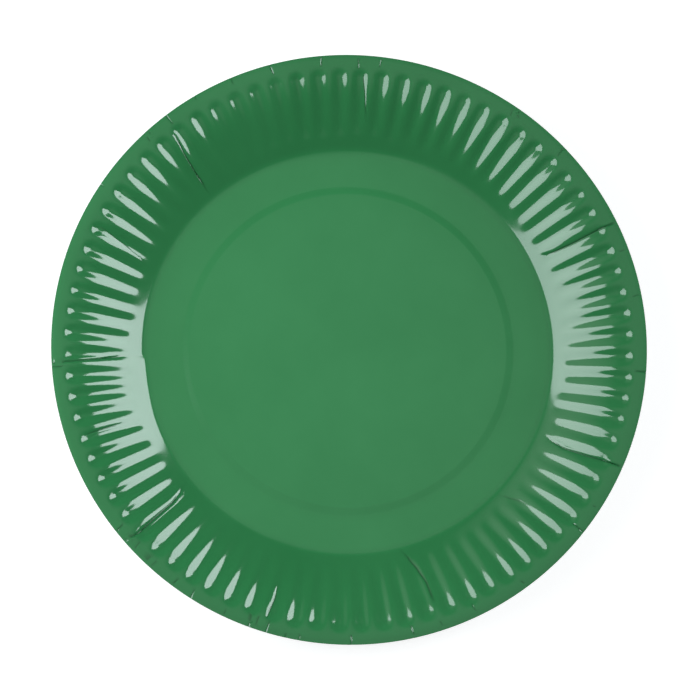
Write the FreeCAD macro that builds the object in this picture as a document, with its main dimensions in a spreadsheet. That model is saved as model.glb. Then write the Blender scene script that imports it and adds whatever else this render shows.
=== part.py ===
import FreeCAD, Part
import math
import os

# A round paper plate, pressed in one stroke from a flat disc of coated board.
# Z is up and the origin is under the plate's centre, on the surface it stands on. Lengths are in millimetres.
# From the middle outwards: a raised panel, its short slope, the flat ring that the plate stands on, a rounded
# foot, a wall with pressed flutes, the crest of the rim and the turned-down edge.

# alias, value and meaning of each driving size
DRIVING_SIZES = [
    ("plate_diameter", 230.0, "across the cut edge of the rim"),
    ("plate_depth", 16.4, "from the table to the top of the rim's crest"),
    ("board_thickness", 0.45, "thickness of the coated board"),
    ("rim_width", 2.0, "from the crest to the cut edge, seen from above"),
    ("rim_drop", 0.3, "how far the cut edge lies below the crest"),
    ("wall_width", 33.9, "from the foot's inner edge to the crest, seen from above"),
    ("foot_reach", 4.8, "how far the flat ring's direction carries into the wall"),
    ("shoulder_reach", 14.6, "how far the crest's direction carries back into the wall"),
    ("ring_width", 13.9, "flat ring that the plate stands on"),
    ("panel_slope_width", 3.6, "slope between the flat ring and the raised panel"),
    ("panel_rise", 0.75, "height of the raised panel above the flat ring"),
    ("flute_count", 80, "grooves round the wall"),
    ("flute_depth", 0.9, "depth of a groove, square to the wall"),
    ("flute_start", 4.8, "from the foot's inner edge to where the grooves begin"),
    ("flute_run_in", 11.0, "stretch over which a groove reaches its depth"),
    ("flute_end_gap", 4.6, "from the end of a groove's floor to the crest"),
    ("flute_turn", 2.3, "angle of the first groove from the X axis, in degrees"),
    ("groove_share", 0.26, "floor of a groove as a share of the pitch"),
    ("ridge_share", 0.26, "top of a ridge as a share of the pitch"),
]

doc = FreeCAD.newDocument("paper_plate")


def make_sheet():
    """Write the driving sizes into a spreadsheet, one row each, with the value's cell named by its alias."""
    sheet = doc.addObject("Spreadsheet::Sheet", "sizes")
    for row, (alias, value, meaning) in enumerate(DRIVING_SIZES, start=1):
        sheet.set(f"A{row}", meaning)
        sheet.set(f"B{row}", str(value))
        sheet.setAlias(f"B{row}", alias)
    doc.recompute()
    return sheet


sheet = make_sheet()


def wall_curve():
    """Middle line of the wall in the XZ plane: level at the foot's inner edge and level again at the crest."""
    crest_radius = sheet.plate_diameter / 2 - sheet.rim_width
    foot_radius = crest_radius - sheet.wall_width
    floor_height = sheet.board_thickness / 2
    crest_height = sheet.plate_depth - sheet.board_thickness / 2
    curve = Part.BezierCurve()
    curve.setPoles([
        FreeCAD.Vector(foot_radius, 0, floor_height),
        FreeCAD.Vector(foot_radius + sheet.foot_reach, 0, floor_height),
        FreeCAD.Vector(crest_radius - sheet.shoulder_reach, 0, crest_height),
        FreeCAD.Vector(crest_radius, 0, crest_height),
    ])
    return curve


def point_at_reach(curve, reach):
    """Point of the wall at a level distance from the foot's inner edge, with the direction square to the wall."""
    target = curve.getPole(1).x + reach
    low, high = curve.FirstParameter, curve.LastParameter
    for _ in range(40):
        middle = (low + high) / 2
        if curve.value(middle).x < target:
            low = middle
        else:
            high = middle
    along = curve.tangent(low)[0]
    return curve.value(low), FreeCAD.Vector(-along.z, 0, along.x)


def plate_stations():
    """Stations from the foot to the cut edge: point, direction square to the board, share of the flute depth."""
    curve = wall_curve()
    flute_full = sheet.flute_start + sheet.flute_run_in
    flute_end = sheet.wall_width - sheet.flute_end_gap
    reach_and_share = [
        (0, 0),
        (sheet.flute_start / 2, 0),
        (sheet.flute_start, 0),
        (flute_full, 1),
        ((flute_full + flute_end) / 2, 1),
        (flute_end, 1),
        (sheet.wall_width, 0),
    ]
    stations = []
    for reach, share in reach_and_share:
        point, square = point_at_reach(curve, reach)
        stations.append((point, square, share))
    crest = stations[-1][0]
    edge = crest + FreeCAD.Vector(sheet.rim_width, 0, -sheet.rim_drop)
    edge_square = FreeCAD.Vector(sheet.rim_drop, 0, sheet.rim_width).normalize()
    stations.append((edge, edge_square, 0))
    return stations


def flute_section():
    """One pitch of a ring: each corner's place as a share of the pitch, and its share of the groove's depth."""
    half_groove = sheet.groove_share / 2
    half_ridge = sheet.ridge_share / 2
    return [
        (-half_groove, 1),
        (half_groove, 1),
        (0.5 - half_ridge, 0),
        (0.5 + half_ridge, 0),
    ]


def ring_corners(station, side):
    """Corners of one ring round the plate: side is 1 on the board's upper face and -1 on its underside."""
    point, square, depth_share = station
    pitch = 360 / sheet.flute_count
    corners = []
    for flute in range(int(sheet.flute_count)):
        for place, groove in flute_section():
            sunk = groove * depth_share * sheet.flute_depth
            offset = side * sheet.board_thickness / 2 - sunk
            angle = math.radians(sheet.flute_turn + (flute + place) * pitch)
            radius = point.x + square.x * offset
            height = point.z + square.z * offset
            corners.append(FreeCAD.Vector(radius * math.cos(angle), radius * math.sin(angle), height))
    return corners


def flat_face(*corners):
    return Part.Face(Part.makePolygon(list(corners) + [corners[0]]))


def facets_between(near, near_next, far_next, far):
    """Faces between two rings at one corner: one where the four corners lie in a plane, else two triangles."""
    square = (near_next - near).cross(far_next - near).normalize()
    if abs((far - near).dot(square)) < 1e-6:
        return [flat_face(near, near_next, far_next, far)]
    return [flat_face(near, near_next, far_next), flat_face(near, far_next, far)]


def dish_solid():
    """Flat-bottomed fluted dish: up the upper face ring by ring, over the cut edge, and back underneath."""
    stations = plate_stations()
    rings = [ring_corners(station, 1) for station in stations]
    rings += [ring_corners(station, -1) for station in reversed(stations)]
    faces = [flat_face(*rings[0]), flat_face(*rings[-1])]
    for near, far in zip(rings, rings[1:]):
        near_turned = near[1:] + near[:1]
        far_turned = far[1:] + far[:1]
        for corners in zip(near, near_turned, far_turned, far):
            faces += facets_between(*corners)
    return Part.Solid(Part.Shell(faces))


def make_dish():
    dish = doc.addObject("Part::Feature", "fluted_dish")
    dish.Shape = dish_solid()
    return dish


def make_panel_cone(name, height_above_table):
    """Low cone frustum under or over the board's middle: its top is as wide as the flat panel."""
    cone = doc.addObject("Part::Cone", name)
    outer = "sizes.plate_diameter / 2 - sizes.rim_width - sizes.wall_width - sizes.ring_width"
    cone.setExpression("Radius1", outer)
    cone.setExpression("Radius2", outer + " - sizes.panel_slope_width")
    cone.setExpression("Height", "sizes.panel_rise")
    cone.setExpression("Placement.Base.z", height_above_table)
    return cone


def make_plate():
    """The plate: the dish with its middle pressed up, filled above and hollowed below by the same frustum."""
    raised = doc.addObject("Part::Fuse", "raised_dish")
    raised.Base = make_dish()
    raised.Tool = make_panel_cone("panel_above", "sizes.board_thickness")
    raised.Refine = False
    plate = doc.addObject("Part::Cut", "paper_plate")
    plate.Base = raised
    plate.Tool = make_panel_cone("panel_below", "0")
    plate.Refine = False
    plate.Label = "paper_plate"
    return plate


plate = make_plate()
doc.recompute()

for part_object in doc.Objects:
    for flag in ("Invalid", "Error"):
        if flag in part_object.State:
            raise RuntimeError(f"{part_object.Label} is {flag}")
if plate.Shape.isNull() or not plate.Shape.isValid() or len(plate.Shape.Solids) != 1:
    raise RuntimeError("the plate isn't one valid solid")

os.makedirs("parts", exist_ok=True)
plate.Shape.exportStep(os.path.join("parts", plate.Label + ".step"))
print("volume, cubic mm:", round(plate.Shape.Volume, 1))
print("box, mm:", plate.Shape.BoundBox)
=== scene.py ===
import math
import random

import bmesh
import bpy
from bpy.props import FloatProperty, FloatVectorProperty, IntProperty, PointerProperty
from mathutils import Matrix, Vector


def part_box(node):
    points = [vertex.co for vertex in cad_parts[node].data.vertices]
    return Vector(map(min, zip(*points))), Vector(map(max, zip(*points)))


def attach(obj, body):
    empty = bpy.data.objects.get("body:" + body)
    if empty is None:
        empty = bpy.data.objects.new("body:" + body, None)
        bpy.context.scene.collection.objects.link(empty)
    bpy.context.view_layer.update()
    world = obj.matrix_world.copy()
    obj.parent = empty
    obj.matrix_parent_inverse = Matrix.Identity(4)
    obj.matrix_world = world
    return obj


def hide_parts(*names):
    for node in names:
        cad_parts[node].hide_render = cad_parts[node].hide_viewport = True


bl_info = {
    "name": "Paper Plate",
    "version": (1, 0, 0),
    "blender": (4, 5, 0),
    "location": "View3D > Sidebar > Plate",
    "description": "Presses a fluted paper plate out of coated board and sets it on a white table",
    "category": "Object",
}

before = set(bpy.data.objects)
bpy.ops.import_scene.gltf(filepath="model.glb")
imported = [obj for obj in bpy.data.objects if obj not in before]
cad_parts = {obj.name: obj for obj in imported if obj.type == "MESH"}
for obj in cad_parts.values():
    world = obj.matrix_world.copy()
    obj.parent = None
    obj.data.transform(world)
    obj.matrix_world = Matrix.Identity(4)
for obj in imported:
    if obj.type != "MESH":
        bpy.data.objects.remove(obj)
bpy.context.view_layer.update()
PLATE_LOW, PLATE_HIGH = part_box("paper_plate")
MM = 0.001
FULL_TURN = 2 * math.pi

# Rows of the board's mesh in each band of the section, from the middle out, and its columns.
PANEL_ROWS = 2
PANEL_SLOPE_ROWS = 7
RING_ROWS = 5
FOOT_ROWS = 11
WALL_ROWS = 12
FLUTE_END_ROWS = 12
CREST_ROWS = 2
LIP_ROWS = 4
COLUMNS_PER_FLUTE = 11

# Width of the foot's band of rows, and how far the band at the grooves' ends reaches past them.
FOOT_BAND_WIDTH = 7 * MM
FLUTE_END_MARGIN = 0.3 * MM
RUN_OUT_MARGIN = 0.8 * MM

# Creases where the board gathered in the press. Each has its line from the rim inwards, as (radius in
# millimetres, angle in degrees), its depth and half width in millimetres, and the side that overlaps, or 0.
WALL_CREASES = [
    ([(113, 25.2), (108, 25.4), (97, 25.3), (89, 25.6), (85, 26.6)], 0.40, 0.36, 1),
    ([(106, 130.0), (97, 130.9), (88, 131.4), (83, 131.8)], 0.36, 0.32, -1),
    ([(114, 184.2), (108, 184.0), (99, 183.6), (92, 183.0), (87, 182.3)], 0.32, 0.34, -1),
    ([(106, 199.4), (98, 199.2), (91, 199.2)], 0.18, 0.30, 1),
    ([(113, 221.8), (108, 222.3), (99, 222.0), (91, 221.8), (87, 221.1), (84, 220.2)], 0.46, 0.40, 1),
    ([(108, 253.2), (101, 253.6), (96, 253.4)], 0.28, 0.30, -1),
    ([(102, 287.9), (96, 287.9), (90, 287.1), (85, 285.9), (81, 284.6)], 0.22, 0.55, 0),
    ([(89, 318.2), (85, 317.0), (81.5, 315.9)], 0.08, 0.50, 0),
    ([(113, 335.7), (108, 335.6), (100, 335.2), (92, 334.9), (87, 335.6), (84.5, 336.4)], 0.42, 0.36, 1),
    ([(106, 87.1), (98, 86.4), (91, 85.8)], 0.20, 0.28, 1),
    ([(105, 155.0), (97, 155.9), (90, 156.8), (85, 157.8)], 0.10, 0.26, 0),
]
# Length over which they fade out at their ends.
WALL_CREASE_FADE = 4.0 * MM

# Short creases of the rim alone: angle in degrees, outer and inner radius and depth in millimetres.
RIM_CREASES = [
    (10.2, 114.0, 111.0, 0.132), (19.4, 113.0, 111.0, 0.132), (43.0, 114.5, 110.5, 0.198),
    (54.4, 114.0, 111.5, 0.154), (55.6, 113.0, 110.5, 0.132), (83.8, 114.0, 110.5, 0.176),
    (88.3, 113.5, 109.5, 0.198), (95.7, 115.0, 110.5, 0.198), (106.0, 114.5, 110.5, 0.220),
    (114.0, 114.5, 112.0, 0.154), (122.0, 115.0, 113.0, 0.132), (128.8, 115.0, 110.5, 0.198),
    (133.4, 114.0, 111.5, 0.176), (134.4, 113.0, 111.0, 0.154), (147.5, 115.0, 113.0, 0.110),
    (184.9, 115.0, 110.5, 0.176), (219.2, 114.5, 111.0, 0.176), (224.0, 113.5, 110.5, 0.176),
    (227.2, 114.0, 110.5, 0.176), (228.6, 114.0, 111.0, 0.176), (234.0, 114.0, 111.0, 0.154),
    (238.2, 115.0, 111.0, 0.154), (245.2, 114.0, 112.0, 0.132), (250.4, 115.0, 109.5, 0.220),
    (251.6, 113.0, 109.5, 0.176), (253.8, 115.0, 110.0, 0.198), (257.6, 115.0, 113.0, 0.176),
    (260.2, 114.5, 112.5, 0.154), (270.2, 114.5, 111.0, 0.220), (282.2, 113.5, 110.0, 0.198),
    (288.0, 113.0, 111.0, 0.154), (295.0, 112.5, 109.5, 0.132), (305.8, 113.0, 111.5, 0.198),
    (321.0, 114.5, 109.5, 0.220), (326.4, 113.0, 111.5, 0.132), (354.9, 115.0, 110.5, 0.220),
]
# Their half width in millimetres, the length over which they fade out, and the most degrees that one leans
# between its two ends.
RIM_CREASE_HALF_WIDTH = 0.30
RIM_CREASE_FADE = 0.6 * MM
RIM_CREASE_LEAN = 0.3

# Waves of the rim out of round and out of level: height in millimetres, number round the rim and phase.
OUTWARD_WAVES = [(0.45, 1, math.radians(-182)), (0.12, 3, 0.6)]
UPWARD_WAVES = [(0.22, 2, 0.9), (0.10, 5, 0.0)]

# Upright edges of the two windows as (azimuth in degrees, distance in metres), their sills and their tops.
LEFT_WINDOW = {"first_edge": (154.0, 0.524), "second_edge": (208.0, 0.429), "low": 0.0, "high": 0.71}
RIGHT_WINDOW = {"first_edge": (-1.0, 2.53), "second_edge": (35.5, 2.43), "low": 0.10, "high": 2.60}
WINDOW_COLOUR = (0.88, 0.97, 1.0)

# The camera stands off from the pivot and looks at the aim, which sets the plate's place in the picture.
CAMERA_PIVOT = Vector((0, 0, 0.00945))
CAMERA_AIM = Vector((0.0002, -0.0014, 0.00945))
SENSOR_WIDTH = 36

# The table lies just under the plate, so that their faces don't meet.
TABLE_RADIUS = 6.0
TABLE_GAP = 0.1 * MM


class PlateSizes(bpy.types.PropertyGroup):
    diameter: FloatProperty(
        name="Diameter", description="Across the cut edge of the rim",
        default=0.230, unit="LENGTH")
    depth: FloatProperty(
        name="Depth", description="From the table to the top of the rim's crest",
        default=PLATE_HIGH[2] - PLATE_LOW[2], unit="LENGTH")
    board: FloatProperty(
        name="Board", description="Thickness of the coated board", default=0.00045, unit="LENGTH")
    rim_width: FloatProperty(
        name="Rim width", description="From the crest to the cut edge, seen from above",
        default=0.0020, unit="LENGTH")
    rim_drop: FloatProperty(
        name="Rim drop", description="How far the cut edge lies below the crest",
        default=0.00025, unit="LENGTH")
    wall_width: FloatProperty(
        name="Wall width", description="From the foot's inner edge to the crest, seen from above",
        default=0.0339, unit="LENGTH")
    foot_reach: FloatProperty(
        name="Foot reach", description="How far the flat ring's direction carries into the wall",
        default=0.0048, unit="LENGTH")
    shoulder_reach: FloatProperty(
        name="Shoulder reach", description="How far the crest's direction carries back into the wall",
        default=0.0146, unit="LENGTH")
    ring_width: FloatProperty(
        name="Ring width", description="Flat ring that the plate stands on", default=0.0139, unit="LENGTH")
    panel_slope: FloatProperty(
        name="Panel slope", description="Width of the slope round the raised panel",
        default=0.0036, unit="LENGTH")
    panel_rise: FloatProperty(
        name="Panel rise", description="Height of the raised panel above the flat ring",
        default=0.00080, unit="LENGTH")
    flute_count: IntProperty(name="Flutes", description="Grooves round the wall", default=80, min=12)
    flute_depth: FloatProperty(
        name="Flute depth", description="Depth of a groove, square to the wall",
        default=0.00106, unit="LENGTH")
    flute_start: FloatProperty(
        name="Flute start", description="From the foot's inner edge to where the grooves begin",
        default=0.0050, unit="LENGTH")
    flute_step: FloatProperty(
        name="Flute step", description="Length of the step with which a groove begins",
        default=0.0036, unit="LENGTH")
    flute_run_in: FloatProperty(
        name="Flute run-in", description="Stretch over which a groove reaches its depth",
        default=0.0202, unit="LENGTH")
    flute_run_out: FloatProperty(
        name="Flute run-out", description="Stretch over which a groove ends",
        default=0.0050, unit="LENGTH")
    flute_end_gap: FloatProperty(
        name="Flute end gap", description="From the outer end of the grooves to the crest",
        default=0.0016, unit="LENGTH")
    flute_turn: FloatProperty(
        name="Flute turn", description="Angle of the first groove from the X axis",
        default=math.radians(2.32), subtype="ANGLE")


class PlateFinish(bpy.types.PropertyGroup):
    coat: FloatVectorProperty(
        name="Coat", description="Green of the printed upper face", subtype="COLOR", size=3,
        default=(0.030, 0.262, 0.078), min=0, max=1)
    coat_pale: FloatVectorProperty(
        name="Pale coat", description="Green where the print lies thin", subtype="COLOR", size=3,
        default=(0.037, 0.283, 0.088), min=0, max=1)
    # Painted shade: how much of the coat's lightness is left on the wall and the rim, standing in for the
    # shade that falls there.
    painted_wall_shade: FloatProperty(
        name="Pressed shade",
        description="How much of the print's lightness is left where the die pressed hard",
        default=0.81, min=0, max=1)
    # Painted shade along the creases, together with their cracked print.
    crease_crack_and_shade: FloatProperty(
        name="Crease darkness", description="How much of the print's lightness is lost along a crease",
        default=0.55, min=0, max=1)
    coat_roughness: FloatProperty(
        name="Coat roughness", description="Roughness of the print under the varnish",
        default=0.12, min=0, max=1)
    pulp: FloatVectorProperty(
        name="Pulp", description="Uncoated white board of the underside and the cut edge",
        subtype="COLOR", size=3, default=(0.72, 0.71, 0.67), min=0, max=1)


class StageSettings(bpy.types.PropertyGroup):
    camera_distance: FloatProperty(
        name="Camera distance", description="From the camera to the plate", default=1.10, unit="LENGTH")
    camera_tilt: FloatProperty(
        name="Camera tilt", description="Angle between the view and the plate's axis",
        default=math.radians(9.08), subtype="ANGLE")
    camera_azimuth: FloatProperty(
        name="Camera azimuth", description="Side of the plate on which the camera stands",
        default=math.radians(250.8), subtype="ANGLE")
    camera_lens: FloatProperty(
        name="Lens", description="Focal length in millimetres on a 36 mm sensor", default=145.8, min=1)
    left_glow: FloatProperty(
        name="Left glow", description="Brightness of the left window, where white is 1", default=3.6, min=0)
    right_glow: FloatProperty(
        name="Right glow", description="Brightness of the right window, where white is 1",
        default=5.0, min=0)
    room_glow: FloatProperty(
        name="Room glow", description="Brightness of the room's light side", default=0.66, min=0)
    ceiling_glow: FloatProperty(
        name="Ceiling glow", description="Brightness that the ceiling adds overhead", default=0.25, min=0)
    room_side: FloatProperty(
        name="Room side", description="Direction of the room's light side",
        default=math.radians(158), subtype="ANGLE")
    table_grey: FloatProperty(
        name="Table grey", description="Share of the light that the table throws back",
        default=0.55, min=0, max=1)
    table_glow: FloatProperty(
        name="Table glow", description="Brightness that the table has of its own where it is seen",
        default=0.74, min=0)


class Signal:
    """A shader socket that can be used in Python sums."""

    def __init__(self, graph, socket):
        self.graph = graph
        self.socket = socket

    def _math(self, operation, first, second):
        return self.graph.node("ShaderNodeMath", {"operation": operation}, {0: first, 1: second})

    def __add__(self, other):
        return self._math("ADD", self, other)

    def __radd__(self, other):
        return self._math("ADD", other, self)

    def __sub__(self, other):
        return self._math("SUBTRACT", self, other)

    def __rsub__(self, other):
        return self._math("SUBTRACT", other, self)

    def __mul__(self, other):
        return self._math("MULTIPLY", self, other)

    def __rmul__(self, other):
        return self._math("MULTIPLY", other, self)

    def clamped(self):
        return self.graph.node("ShaderNodeClamp", {}, {"Value": self})


class Graph:
    """Node tree of a material or a world, emptied and ready to be written."""

    def __init__(self, owner):
        owner.use_nodes = True
        self.tree = owner.node_tree
        self.tree.nodes.clear()

    def node(self, kind, settings, inputs, output=0):
        """Add a node: its settings are set first, then each input takes a value or a link."""
        made = self.tree.nodes.new(kind)
        for name, value in settings.items():
            if name == "stops":
                self._set_stops(made.color_ramp, value)
            else:
                setattr(made, name, value)
        for name, value in inputs.items():
            if isinstance(value, Signal):
                self.tree.links.new(value.socket, made.inputs[name])
            else:
                made.inputs[name].default_value = value
        if made.outputs:
            return Signal(self, made.outputs[output])
        return made

    def _set_stops(self, ramp, stops):
        while len(ramp.elements) > len(stops):
            ramp.elements.remove(ramp.elements[-1])
        while len(ramp.elements) < len(stops):
            ramp.elements.new(1.0)
        for element, (position, colour) in zip(ramp.elements, stops):
            element.position = position
            element.color = colour

    def object_place(self):
        return self.node("ShaderNodeTexCoord", {}, {}, "Object")

    def noise(self, place, scale, detail=3.0, roughness=0.5):
        """Noise from 0 to 1, with its scale in cells to the metre."""
        return self.node("ShaderNodeTexNoise", {}, {
            "Vector": place, "Scale": scale, "Detail": detail, "Roughness": roughness})

    def dot(self, first, second):
        return self.node(
            "ShaderNodeVectorMath", {"operation": "DOT_PRODUCT"}, {0: first, 1: second}, "Value")

    def blend(self, factor, first, second):
        """Mix two colours."""
        return self.node(
            "ShaderNodeMix", {"data_type": "RGBA"}, {0: factor, 6: first, 7: second}, 2)

    def ramp(self, factor, *stops):
        """Grey level that runs through the stops, each a position and a level."""
        grey_stops = [(position, (level, level, level, 1)) for position, level in stops]
        return self.node("ShaderNodeValToRGB", {"stops": grey_stops}, {"Fac": factor})


def with_alpha(colour):
    return (*colour, 1.0)


def coat_material(finish, pressed_radius):
    """Glossy green print under varnish: faint clouds in the colour and a slight unevenness in the gloss.

    Outside the pressed radius the wall and the rim get painted shade, a little deeper in colour,
    and the creases get painted shade and cracked print, darker still."""
    material = bpy.data.materials.new("green_gloss_coat")
    graph = Graph(material)
    place = graph.object_place()
    clouds = graph.noise(place, 26.0, detail=4.0, roughness=0.55)
    fibres = graph.noise(place, 420.0, detail=3.0, roughness=0.6)
    cloud_mask = graph.ramp(clouds, (0.32, 0.0), (0.70, 1.0))
    green = graph.blend(cloud_mask, with_alpha(finish.coat), with_alpha(finish.coat_pale))
    level_place = graph.node(
        "ShaderNodeVectorMath", {"operation": "MULTIPLY"}, {0: place, 1: (1, 1, 0)}, "Vector")
    radius = graph.node("ShaderNodeVectorMath", {"operation": "LENGTH"}, {0: level_place}, "Value")
    # Painted shade: the coat's colour is darker on the wall and the rim, outside the foot's inner edge.
    pressed = graph.node("ShaderNodeMapRange", {"interpolation_type": "SMOOTHSTEP"}, {
        "Value": radius, "From Min": pressed_radius - 2 * MM, "From Max": pressed_radius + 3 * MM,
        "To Min": 1.0, "To Max": finish.painted_wall_shade})
    # Painted shade and cracked print along the creases, read from the points of the mesh.
    crease = graph.node("ShaderNodeAttribute", {"attribute_name": "crease"}, {}, "Fac")
    # Lightness left after the painted shade of the wall and the painted shade and cracked print of the
    # creases.
    lightness = pressed * (1.0 - finish.crease_crack_and_shade * crease)
    shaded = graph.node(
        "ShaderNodeVectorMath", {"operation": "SCALE"}, {0: green, "Scale": lightness}, "Vector")
    bump = graph.node("ShaderNodeBump", {}, {"Strength": 0.10, "Distance": 0.05 * MM, "Height": fibres})
    shader = graph.node("ShaderNodeBsdfPrincipled", {}, {
        "Base Color": shaded,
        "Roughness": finish.coat_roughness + 0.05 * (clouds - 0.5),
        "IOR": 1.5,
        "Coat Weight": 1.0,
        "Coat Roughness": 0.08,
        "Normal": bump,
    })
    graph.node("ShaderNodeOutputMaterial", {}, {"Surface": shader})
    return material


def pulp_material(finish, name):
    """Uncoated white board with a fine tangle of fibres."""
    material = bpy.data.materials.new(name)
    graph = Graph(material)
    place = graph.object_place()
    fibres = graph.noise(place, 900.0, detail=4.0, roughness=0.6)
    clouds = graph.noise(place, 60.0, detail=3.0)
    shade = (0.82 + 0.18 * clouds + 0.10 * (fibres - 0.5)).clamped()
    dull_pulp = [0.8 * level for level in finish.pulp]
    white = graph.blend(shade, with_alpha(dull_pulp), with_alpha(finish.pulp))
    bump = graph.node("ShaderNodeBump", {}, {"Strength": 0.25, "Distance": 0.05 * MM, "Height": fibres})
    shader = graph.node("ShaderNodeBsdfPrincipled", {}, {
        "Base Color": white,
        "Roughness": 0.85,
        "Normal": bump,
    })
    graph.node("ShaderNodeOutputMaterial", {}, {"Surface": shader})
    return material


def table_material(settings):
    """Table that looks white in the picture and in reflections, and throws little light on the plate."""
    material = bpy.data.materials.new("white_table")
    graph = Graph(material)
    camera_ray, glossy_ray, transmission_ray = (
        graph.node("ShaderNodeLightPath", {}, {}, name)
        for name in ("Is Camera Ray", "Is Glossy Ray", "Is Transmission Ray"))
    seen = (camera_ray + glossy_ray + transmission_ray).clamped()
    grey = (settings.table_grey, settings.table_grey, settings.table_grey)
    paper = graph.node("ShaderNodeBsdfDiffuse", {}, {"Color": with_alpha(grey)})
    glow = graph.node("ShaderNodeEmission", {}, {
        "Color": (1, 1, 1, 1), "Strength": settings.table_glow * seen})
    both = graph.node("ShaderNodeAddShader", {}, {0: paper, 1: glow})
    graph.node("ShaderNodeOutputMaterial", {}, {"Surface": both})
    return material


def smooth_step(share):
    """Curve from 0 to 1 that is level at both ends."""
    share = min(max(share, 0.0), 1.0)
    return share * share * (3 - 2 * share)


def soft_ramp(share, corner=0.16):
    """Straight ramp from 0 to 1 with rounded corners."""
    if share > 0.5:
        return 1 - soft_ramp(1 - share, corner)
    if share >= corner:
        return share
    return max(share + corner, 0.0) ** 2 / (4 * corner)


def pinch(across):
    """How deep a place lies in a crease, from its distance across in half widths."""
    return math.exp(-across * across)


def turn_between(start, end):
    """Signed angle from one direction to another, between minus half a turn and half a turn."""
    return (end - start + math.pi) % FULL_TURN - math.pi


def wave_sum(waves, angle):
    """Height of several waves round the rim at an angle."""
    return sum(height * MM * math.sin(number * angle + phase) for height, number, phase in waves)


class Section:
    """Middle line of the board from the plate's axis to the cut edge, as in the press."""

    # Above 1, the rim bends down more steeply towards the cut edge.
    RIM_BEND = 1.5

    def __init__(self, sizes):
        self.sizes = sizes
        self.edge_radius = sizes.diameter / 2
        self.crest_radius = self.edge_radius - sizes.rim_width
        self.foot_radius = self.crest_radius - sizes.wall_width
        self.slope_radius = self.foot_radius - sizes.ring_width
        self.panel_radius = self.slope_radius - sizes.panel_slope
        self.floor = sizes.board / 2
        self.crest = sizes.depth - sizes.board / 2

    def wall_point(self, share):
        """Point of the wall's curve: level at the foot's inner edge and level again at the crest."""
        far = 1 - share
        near_handle = self.foot_radius + self.sizes.foot_reach
        far_handle = self.crest_radius - self.sizes.shoulder_reach
        radius = (far ** 3 * self.foot_radius + 3 * far ** 2 * share * near_handle
                  + 3 * far * share ** 2 * far_handle + share ** 3 * self.crest_radius)
        return radius, self.floor + (self.crest - self.floor) * smooth_step(share)

    def wall_height(self, radius):
        """Height of the wall's curve at a radius, found by halving."""
        low, high = 0.0, 1.0
        for _ in range(30):
            middle = (low + high) / 2
            if self.wall_point(middle)[0] < radius:
                low = middle
            else:
                high = middle
        return self.wall_point(low)[1]

    def height(self, radius):
        """Height of the board's middle at a radius."""
        if radius >= self.crest_radius:
            out = (radius - self.crest_radius) / self.sizes.rim_width
            return self.crest - self.sizes.rim_drop * out ** self.RIM_BEND
        if radius >= self.foot_radius:
            return self.wall_height(radius)
        slope_share = (self.slope_radius - radius) / self.sizes.panel_slope
        return self.floor + self.sizes.panel_rise * soft_ramp(slope_share)

    def square(self, radius):
        """Direction square to the board in the section's plane, as level and upward parts."""
        step = 0.02 * MM
        rise = (self.height(radius + step) - self.height(radius - step)) / (2 * step)
        length = math.hypot(1, rise)
        return -rise / length, 1 / length

    def rows(self):
        """Radii of the mesh's rows, close together where the board bends most."""
        foot_end = self.foot_radius + FOOT_BAND_WIDTH
        flutes_end = self.crest_radius - self.sizes.flute_end_gap + FLUTE_END_MARGIN
        run_out_start = flutes_end - self.sizes.flute_run_out - RUN_OUT_MARGIN
        bands = [
            (0.0, self.panel_radius, PANEL_ROWS),
            (self.panel_radius, self.slope_radius, PANEL_SLOPE_ROWS),
            (self.slope_radius, self.foot_radius, RING_ROWS),
            (self.foot_radius, foot_end, FOOT_ROWS),
            (foot_end, run_out_start, WALL_ROWS),
            (run_out_start, flutes_end, FLUTE_END_ROWS),
            (flutes_end, self.crest_radius, CREST_ROWS),
            (self.crest_radius, self.edge_radius, LIP_ROWS),
        ]
        radii = [0.0]
        for start, end, count in bands:
            for row in range(1, count + 1):
                radii.append(start + (end - start) * row / count)
        return radii


class Flutes:
    """Grooves pressed into the wall, each a little different from the next."""

    # Start of the random draws that make the grooves differ.
    SEED = 7
    # No groove begins or ends farther than this from its place.
    LARGEST_STRAY = 1.0 * MM
    # Share of the depth that comes with the step at a groove's beginning; the rest climbs over the run-in.
    STEP_SHARE = 0.2

    def __init__(self, sizes, section):
        self.sizes = sizes
        self.pitch = FULL_TURN / sizes.flute_count
        self.start = section.foot_radius + sizes.flute_start
        self.end = section.crest_radius - sizes.flute_end_gap
        chance = random.Random(self.SEED)
        self.habits = [
            {
                "depth": 1 + chance.uniform(-0.09, 0.09),
                "narrowness": 1 + chance.uniform(-0.13, 0.09),
                "drift": chance.uniform(-0.025, 0.025),
                "start": chance.uniform(-0.8, 0.8) * MM,
                "end": chance.uniform(-0.25, 0.25) * MM,
            }
            for _ in range(sizes.flute_count)
        ]

    def sink(self, radius, angle):
        """How far the board is sunk at a place, square to the wall."""
        if radius <= self.start - self.LARGEST_STRAY or radius >= self.end + self.LARGEST_STRAY:
            return 0.0
        place = (angle - self.sizes.flute_turn) / self.pitch
        nearest = round(place)
        habit = self.habits[nearest % self.sizes.flute_count]
        across = place - nearest
        across -= habit["drift"] * (1 - 4 * across ** 2)
        bowl = (0.5 + 0.5 * math.cos(FULL_TURN * across)) ** habit["narrowness"]
        reach = radius - self.start - habit["start"]
        step = smooth_step(reach / self.sizes.flute_step)
        climb = soft_ramp(reach / self.sizes.flute_run_in)
        run_in = self.STEP_SHARE * step + (1 - self.STEP_SHARE) * climb
        run_out = smooth_step((self.end + habit["end"] - radius) / self.sizes.flute_run_out)
        return self.sizes.flute_depth * habit["depth"] * bowl * run_in * run_out


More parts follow.
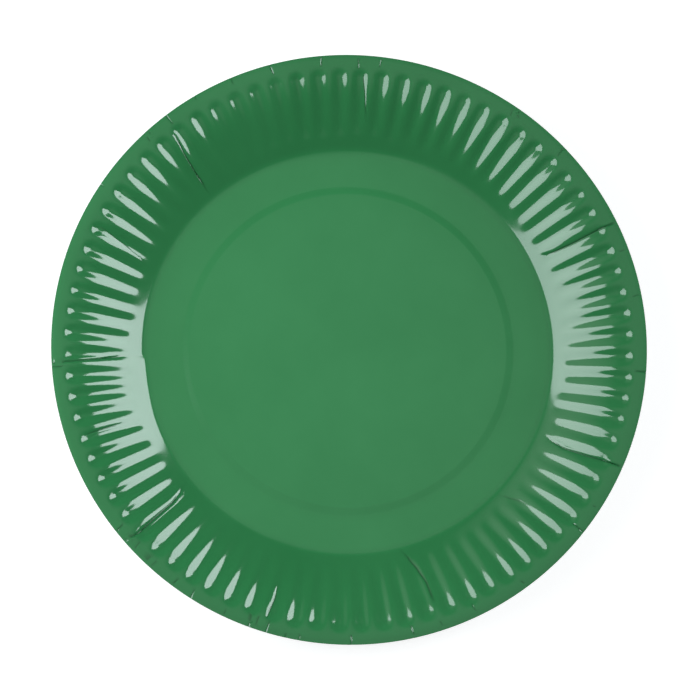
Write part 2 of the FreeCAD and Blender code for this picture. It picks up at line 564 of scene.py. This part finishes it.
class Crease:
    """A pinched line in the board, near enough radial. The mesh's columns are drawn together along it."""

    # Columns that are drawn in on each side, and the share of their spacing that is left beside the line.
    REACH_COLUMNS = 6
    DRAW = 0.20
    # Angle beyond those columns in which a mesh point may still be touched.
    SIDE_MARGIN = math.radians(3)
    # Half widths from the line beyond which nothing is lifted or sunk.
    LARGEST_ACROSS = 6
    # The lap beside the valley: height as a share of the depth, place and squared spread in half widths.
    LAP_HEIGHT = 0.45
    LAP_PLACE = 1.9
    LAP_SPREAD_SQUARED = 1.6
    # A crease of the full depth gets its painted shade and cracked print in full, and the faintest one the
    # least share of that.
    FULL_DARK_DEPTH = 0.30 * MM
    LEAST_DARK_SHARE = 0.4
    # The painted dark line is narrower than the valley by this.
    DARK_NARROWING = 1.2

    def __init__(self, line, depth, half_width, lap, column_angle, fade):
        self.line = [(radius * MM, math.radians(angle)) for radius, angle in line]
        self.depth = depth * MM
        self.half_width = half_width * MM
        self.lap = lap
        self.outer = self.line[0][0]
        self.inner = self.line[-1][0]
        self.fade = fade
        middle_angle = self.angle_at((self.outer + self.inner) / 2)
        self.column = round(middle_angle / column_angle) * column_angle
        self.reach = self.REACH_COLUMNS * column_angle

    def angle_at(self, radius):
        """Angle of the line at a radius, rounded where its points meet."""
        if radius >= self.outer:
            return self.line[0][1]
        for (far, far_angle), (near, near_angle) in zip(self.line, self.line[1:]):
            if radius >= near:
                share = (far - radius) / (far - near)
                rounded_share = (share + smooth_step(share)) / 2
                return far_angle + (near_angle - far_angle) * rounded_share
        return self.line[-1][1]

    def strength(self, radius):
        """1 along the middle of the line, fading out slowly at its inner end and faster at its outer end."""
        inside = smooth_step((radius - self.inner) / (2 * self.fade) + 0.25)
        outside = smooth_step((self.outer - radius) / self.fade + 0.75)
        return inside * outside

    def is_near(self, angle):
        return abs(turn_between(self.column, angle)) < self.reach + self.SIDE_MARGIN

    def draw_columns(self, radius, angle):
        """New angle of a mesh point: the nearest column lands on the line and its neighbours close in."""
        away = turn_between(self.column, angle)
        if abs(away) >= self.reach:
            return angle
        share = abs(away) / self.reach
        closed = away * (self.DRAW + (1 - self.DRAW) * share ** 1.5)
        bend = turn_between(self.column, self.angle_at(radius)) * (1 - smooth_step(share))
        target = self.column + closed + bend
        return angle + turn_between(angle, target) * self.strength(radius)

    def across(self, radius, angle):
        """Distance from the line, in half widths."""
        return turn_between(self.angle_at(radius), angle) * radius / self.half_width

    def crack_and_painted_shade(self, radius, angle):
        """How strongly the print is cracked and darkened by painted shade at a place, from 0 to 1."""
        depth_share = min(self.depth / self.FULL_DARK_DEPTH, 1.0)
        dark_share = self.LEAST_DARK_SHARE + (1 - self.LEAST_DARK_SHARE) * depth_share
        return dark_share * self.strength(radius) * pinch(self.across(radius, angle) * self.DARK_NARROWING)

    def offset(self, radius, angle):
        """Move square to the board: a narrow valley, with a raised lap on the side that overlaps."""
        strength = self.strength(radius)
        across = self.across(radius, angle)
        if strength <= 0 or abs(across) > self.LARGEST_ACROSS:
            return 0.0
        from_lap = across * self.lap - self.LAP_PLACE
        lap = self.LAP_HEIGHT * abs(self.lap) * math.exp(-from_lap ** 2 / self.LAP_SPREAD_SQUARED)
        return self.depth * strength * (lap - pinch(across))


class Press:
    """Shapes the flat rows and columns of the blank into the plate."""

    # The foot strays inwards most at the back, by this much, round this angle and over this spread.
    BACK_STRAY = 2.4 * MM
    BACK_ANGLE = math.radians(96)
    BACK_SPREAD = math.radians(30)
    # It also strays on one side of the crease on the left, and most at this spread from it.
    LEFT_STRAY = 1.35 * MM
    LEFT_ANGLE = math.radians(182)
    LEFT_SPREAD = math.radians(5)
    # The stray is largest a little outside the foot's inner edge and dies away on both sides of that.
    STRAY_PLACE = 1 * MM
    STRAY_REACH = 9 * MM

    def __init__(self, sizes):
        self.sizes = sizes
        self.section = Section(sizes)
        self.flutes = Flutes(sizes, self.section)
        self.column_count = sizes.flute_count * COLUMNS_PER_FLUTE
        column_angle = FULL_TURN / self.column_count
        self.creases = [Crease(*crease, column_angle, WALL_CREASE_FADE) for crease in WALL_CREASES]
        for number, (angle, outer, inner, depth) in enumerate(RIM_CREASES):
            # The sine of the bare angle serves as a number that differs from crease to crease.
            lean = RIM_CREASE_LEAN * math.sin(angle)
            line = [(outer, angle), (inner, angle + lean)]
            lap = 1 if number % 2 else -1
            self.creases.append(
                Crease(line, depth, RIM_CREASE_HALF_WIDTH, lap, column_angle, RIM_CREASE_FADE))

    def foot_stray(self, radius, angle):
        """How far the wall's foot strays inwards: softly at the back, and beside the crease on the left."""
        from_back = turn_between(self.BACK_ANGLE, angle) / self.BACK_SPREAD
        from_left = turn_between(self.LEFT_ANGLE, angle) / self.LEFT_SPREAD
        stray = self.BACK_STRAY * math.exp(-from_back ** 2)
        if from_left > 0:
            stray += self.LEFT_STRAY * from_left * math.exp(1 - from_left)
        place = (radius - self.section.foot_radius - self.STRAY_PLACE) / self.STRAY_REACH
        return stray * math.exp(-place ** 2)

    def place(self, radius, angle):
        """Place of a mesh point in the pressed plate, and how much painted shade and cracked print a crease
        gives it.
        """
        near = [crease for crease in self.creases if crease.is_near(angle)]
        for crease in near:
            angle = crease.draw_columns(radius, angle)
        offset = sum(crease.offset(radius, angle) for crease in near) - self.flutes.sink(radius, angle)
        crack_and_painted_shade = max((crease.crack_and_painted_shade(radius, angle) for crease in near), default=0.0)
        pressed_radius = radius + self.foot_stray(radius, angle)
        level_part, upward_part = self.section.square(pressed_radius)
        wave_share = smooth_step((radius - self.section.foot_radius)
                                 / (self.section.edge_radius - self.section.foot_radius))
        level = radius + level_part * offset + wave_sum(OUTWARD_WAVES, angle) * wave_share
        height = self.section.height(pressed_radius) + upward_part * offset
        height += wave_sum(UPWARD_WAVES, angle) * wave_share
        return Vector((level * math.cos(angle), level * math.sin(angle), height)), crack_and_painted_shade


def finish_mesh(board, name, materials):
    """Turn a bmesh into an object at the origin with the given materials."""
    mesh = bpy.data.meshes.new(name)
    board.to_mesh(mesh)
    board.free()
    for material in materials:
        mesh.materials.append(material)
    piece = bpy.data.objects.new(name, mesh)
    bpy.context.scene.collection.objects.link(piece)
    return piece


def spin_blank(press):
    """Flat disc of board: one radial line of points spun round the axis, with its pole closed."""
    board = bmesh.new()
    points = [board.verts.new((radius, 0, 0)) for radius in press.section.rows()]
    edges = [board.edges.new(pair) for pair in zip(points, points[1:])]
    bmesh.ops.spin(
        board, geom=points + edges, cent=(0, 0, 0), axis=(0, 0, 1), angle=FULL_TURN,
        steps=press.column_count, use_merge=True, use_duplicate=False)
    bmesh.ops.remove_doubles(board, verts=board.verts[:], dist=0.001 * MM)
    bmesh.ops.recalc_face_normals(board, faces=board.faces[:])
    if sum(face.normal.z for face in board.faces) < 0:
        bmesh.ops.reverse_faces(board, faces=board.faces[:])
    return board


class PLATE_OT_press_board(bpy.types.Operator):
    """Press the plate out of a flat disc of coated board"""
    bl_idname = "plate.press_board"
    bl_label = "Press Plate"

    def execute(self, context):
        sizes = context.scene.plate_sizes
        finish = context.scene.plate_finish
        press = Press(sizes)
        board = spin_blank(press)
        # Each point keeps the painted shade and cracked print of the creases that run through it.
        crease_shade_layer = board.verts.layers.float.new("crease")
        for point in board.verts:
            radius = math.hypot(point.co.x, point.co.y)
            angle = math.atan2(point.co.y, point.co.x) % FULL_TURN
            point.co, point[crease_shade_layer] = press.place(radius, angle)
        for face in board.faces:
            face.smooth = True
        for edge in board.edges:
            edge.smooth = not edge.is_boundary
        materials = [
            coat_material(finish, press.section.foot_radius),
            pulp_material(finish, "white_pulp_underside"),
            pulp_material(finish, "white_pulp_cut_edge"),
        ]
        plate = finish_mesh(board, "pressed_plate", materials)
        self.thicken(plate, sizes.board)
        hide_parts("paper_plate")
        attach(plate, "root")
        return {"FINISHED"}

    def thicken(self, plate, thickness):
        """Give the board its thickness: the second material lies underneath, the third on the cut edge."""
        board = plate.modifiers.new("board_thickness", "SOLIDIFY")
        board.thickness = thickness
        board.offset = 0.0
        board.material_offset = 1
        board.material_offset_rim = 2


def level_point(azimuth, distance):
    """Point on the table, from its azimuth in degrees and its distance from the plate's middle."""
    azimuth = math.radians(azimuth)
    return Vector((distance * math.cos(azimuth), distance * math.sin(azimuth), 0))


def add_window(name, glow, first_edge, second_edge, low, high):
    """Upright rectangular lamp beside the plate. Glow is the brightness of its face, where white is 1."""
    first = level_point(*first_edge)
    second = level_point(*second_edge)
    middle = (first + second) / 2
    across = second - first
    back = across.cross(Vector((0, 0, 1)))
    if back.dot(middle) < 0:
        back.negate()
    light = bpy.data.lights.new(name, "AREA")
    light.shape = "RECTANGLE"
    light.size = across.length
    light.size_y = high - low
    light.color = WINDOW_COLOUR
    light.energy = glow * math.pi * light.size * light.size_y
    lamp = bpy.data.objects.new(name, light)
    lamp.location = middle + Vector((0, 0, (low + high) / 2))
    lamp.rotation_euler = back.to_track_quat("Z", "Y").to_euler()
    bpy.context.scene.collection.objects.link(lamp)


class PLATE_OT_set_stage(bpy.types.Operator):
    """Set the white table, the two windows, the room and the camera"""
    bl_idname = "plate.set_stage"
    bl_label = "Set Stage"

    def execute(self, context):
        settings = context.scene.plate_stage
        self.add_table(settings)
        add_window("left_window", settings.left_glow, **LEFT_WINDOW)
        add_window("right_window", settings.right_glow, **RIGHT_WINDOW)
        self.light_room(context.scene, settings)
        self.add_camera(context.scene, settings)
        context.scene.view_settings.view_transform = "Standard"
        return {"FINISHED"}

    def add_table(self, settings):
        table = bmesh.new()
        bmesh.ops.create_circle(table, cap_ends=True, segments=96, radius=TABLE_RADIUS)
        bmesh.ops.translate(table, verts=table.verts[:], vec=(0, 0, -TABLE_GAP))
        finish_mesh(table, "table", [table_material(settings)])

    def light_room(self, scene, settings):
        """Dim room, brighter on one side than on the other and straight overhead."""
        world = bpy.data.worlds.new("studio")
        scene.world = world
        graph = Graph(world)
        direction = graph.node("ShaderNodeTexCoord", {}, {}, "Generated")
        side = (math.cos(settings.room_side), math.sin(settings.room_side), 0)
        towards = graph.dot(direction, side)
        upwards = graph.dot(direction, (0, 0, 1))
        walls = graph.ramp(0.5 + 0.5 * towards, (0.80, 0.12), (0.97, 1.0))
        ceiling = graph.ramp(upwards, (0.75, 0.0), (0.95, 1.0))
        background = graph.node("ShaderNodeBackground", {}, {
            "Color": (1, 1, 1, 1),
            "Strength": walls * settings.room_glow + ceiling * settings.ceiling_glow,
        })
        graph.node("ShaderNodeOutputWorld", {}, {"Surface": background})

    def add_camera(self, scene, settings):
        """Camera in front of the plate and high above it, with the plate's Y axis upright in the picture."""
        tilt = settings.camera_tilt
        side = settings.camera_azimuth
        away = Vector((math.sin(tilt) * math.cos(side), math.sin(tilt) * math.sin(side), math.cos(tilt)))
        place = CAMERA_PIVOT + away * settings.camera_distance
        forward = (CAMERA_AIM - place).normalized()
        right = forward.cross(Vector((0, 1, 0))).normalized()
        up = right.cross(forward)
        camera = bpy.data.cameras.new("camera")
        camera.sensor_width = SENSOR_WIDTH
        camera.lens = settings.camera_lens
        holder = bpy.data.objects.new("camera", camera)
        turn = Matrix((right, up, -forward)).transposed().to_4x4()
        holder.matrix_world = Matrix.Translation(place) @ turn
        scene.collection.objects.link(holder)
        scene.camera = holder


class PLATE_PT_panel(bpy.types.Panel):
    """Plate's tools in the sidebar"""
    bl_idname = "PLATE_PT_panel"
    bl_label = "Paper Plate"
    bl_space_type = "VIEW_3D"
    bl_region_type = "UI"
    bl_category = "Plate"

    def draw(self, context):
        for operator in (PLATE_OT_press_board, PLATE_OT_set_stage):
            self.layout.operator(operator.bl_idname)
        for group in (context.scene.plate_sizes, context.scene.plate_finish, context.scene.plate_stage):
            column = self.layout.column()
            for name in group.__annotations__:
                column.prop(group, name)


CLASSES = (
    PlateSizes,
    PlateFinish,
    StageSettings,
    PLATE_OT_press_board,
    PLATE_OT_set_stage,
    PLATE_PT_panel,
)


def register():
    for item in CLASSES:
        bpy.utils.register_class(item)
    bpy.types.Scene.plate_sizes = PointerProperty(type=PlateSizes)
    bpy.types.Scene.plate_finish = PointerProperty(type=PlateFinish)
    bpy.types.Scene.plate_stage = PointerProperty(type=StageSettings)


def unregister():
    del bpy.types.Scene.plate_stage
    del bpy.types.Scene.plate_finish
    del bpy.types.Scene.plate_sizes
    for item in reversed(CLASSES):
        bpy.utils.unregister_class(item)


def main():
    register()
    bpy.ops.plate.press_board()
    bpy.ops.plate.set_stage()


if __name__ == "__main__":
    main()
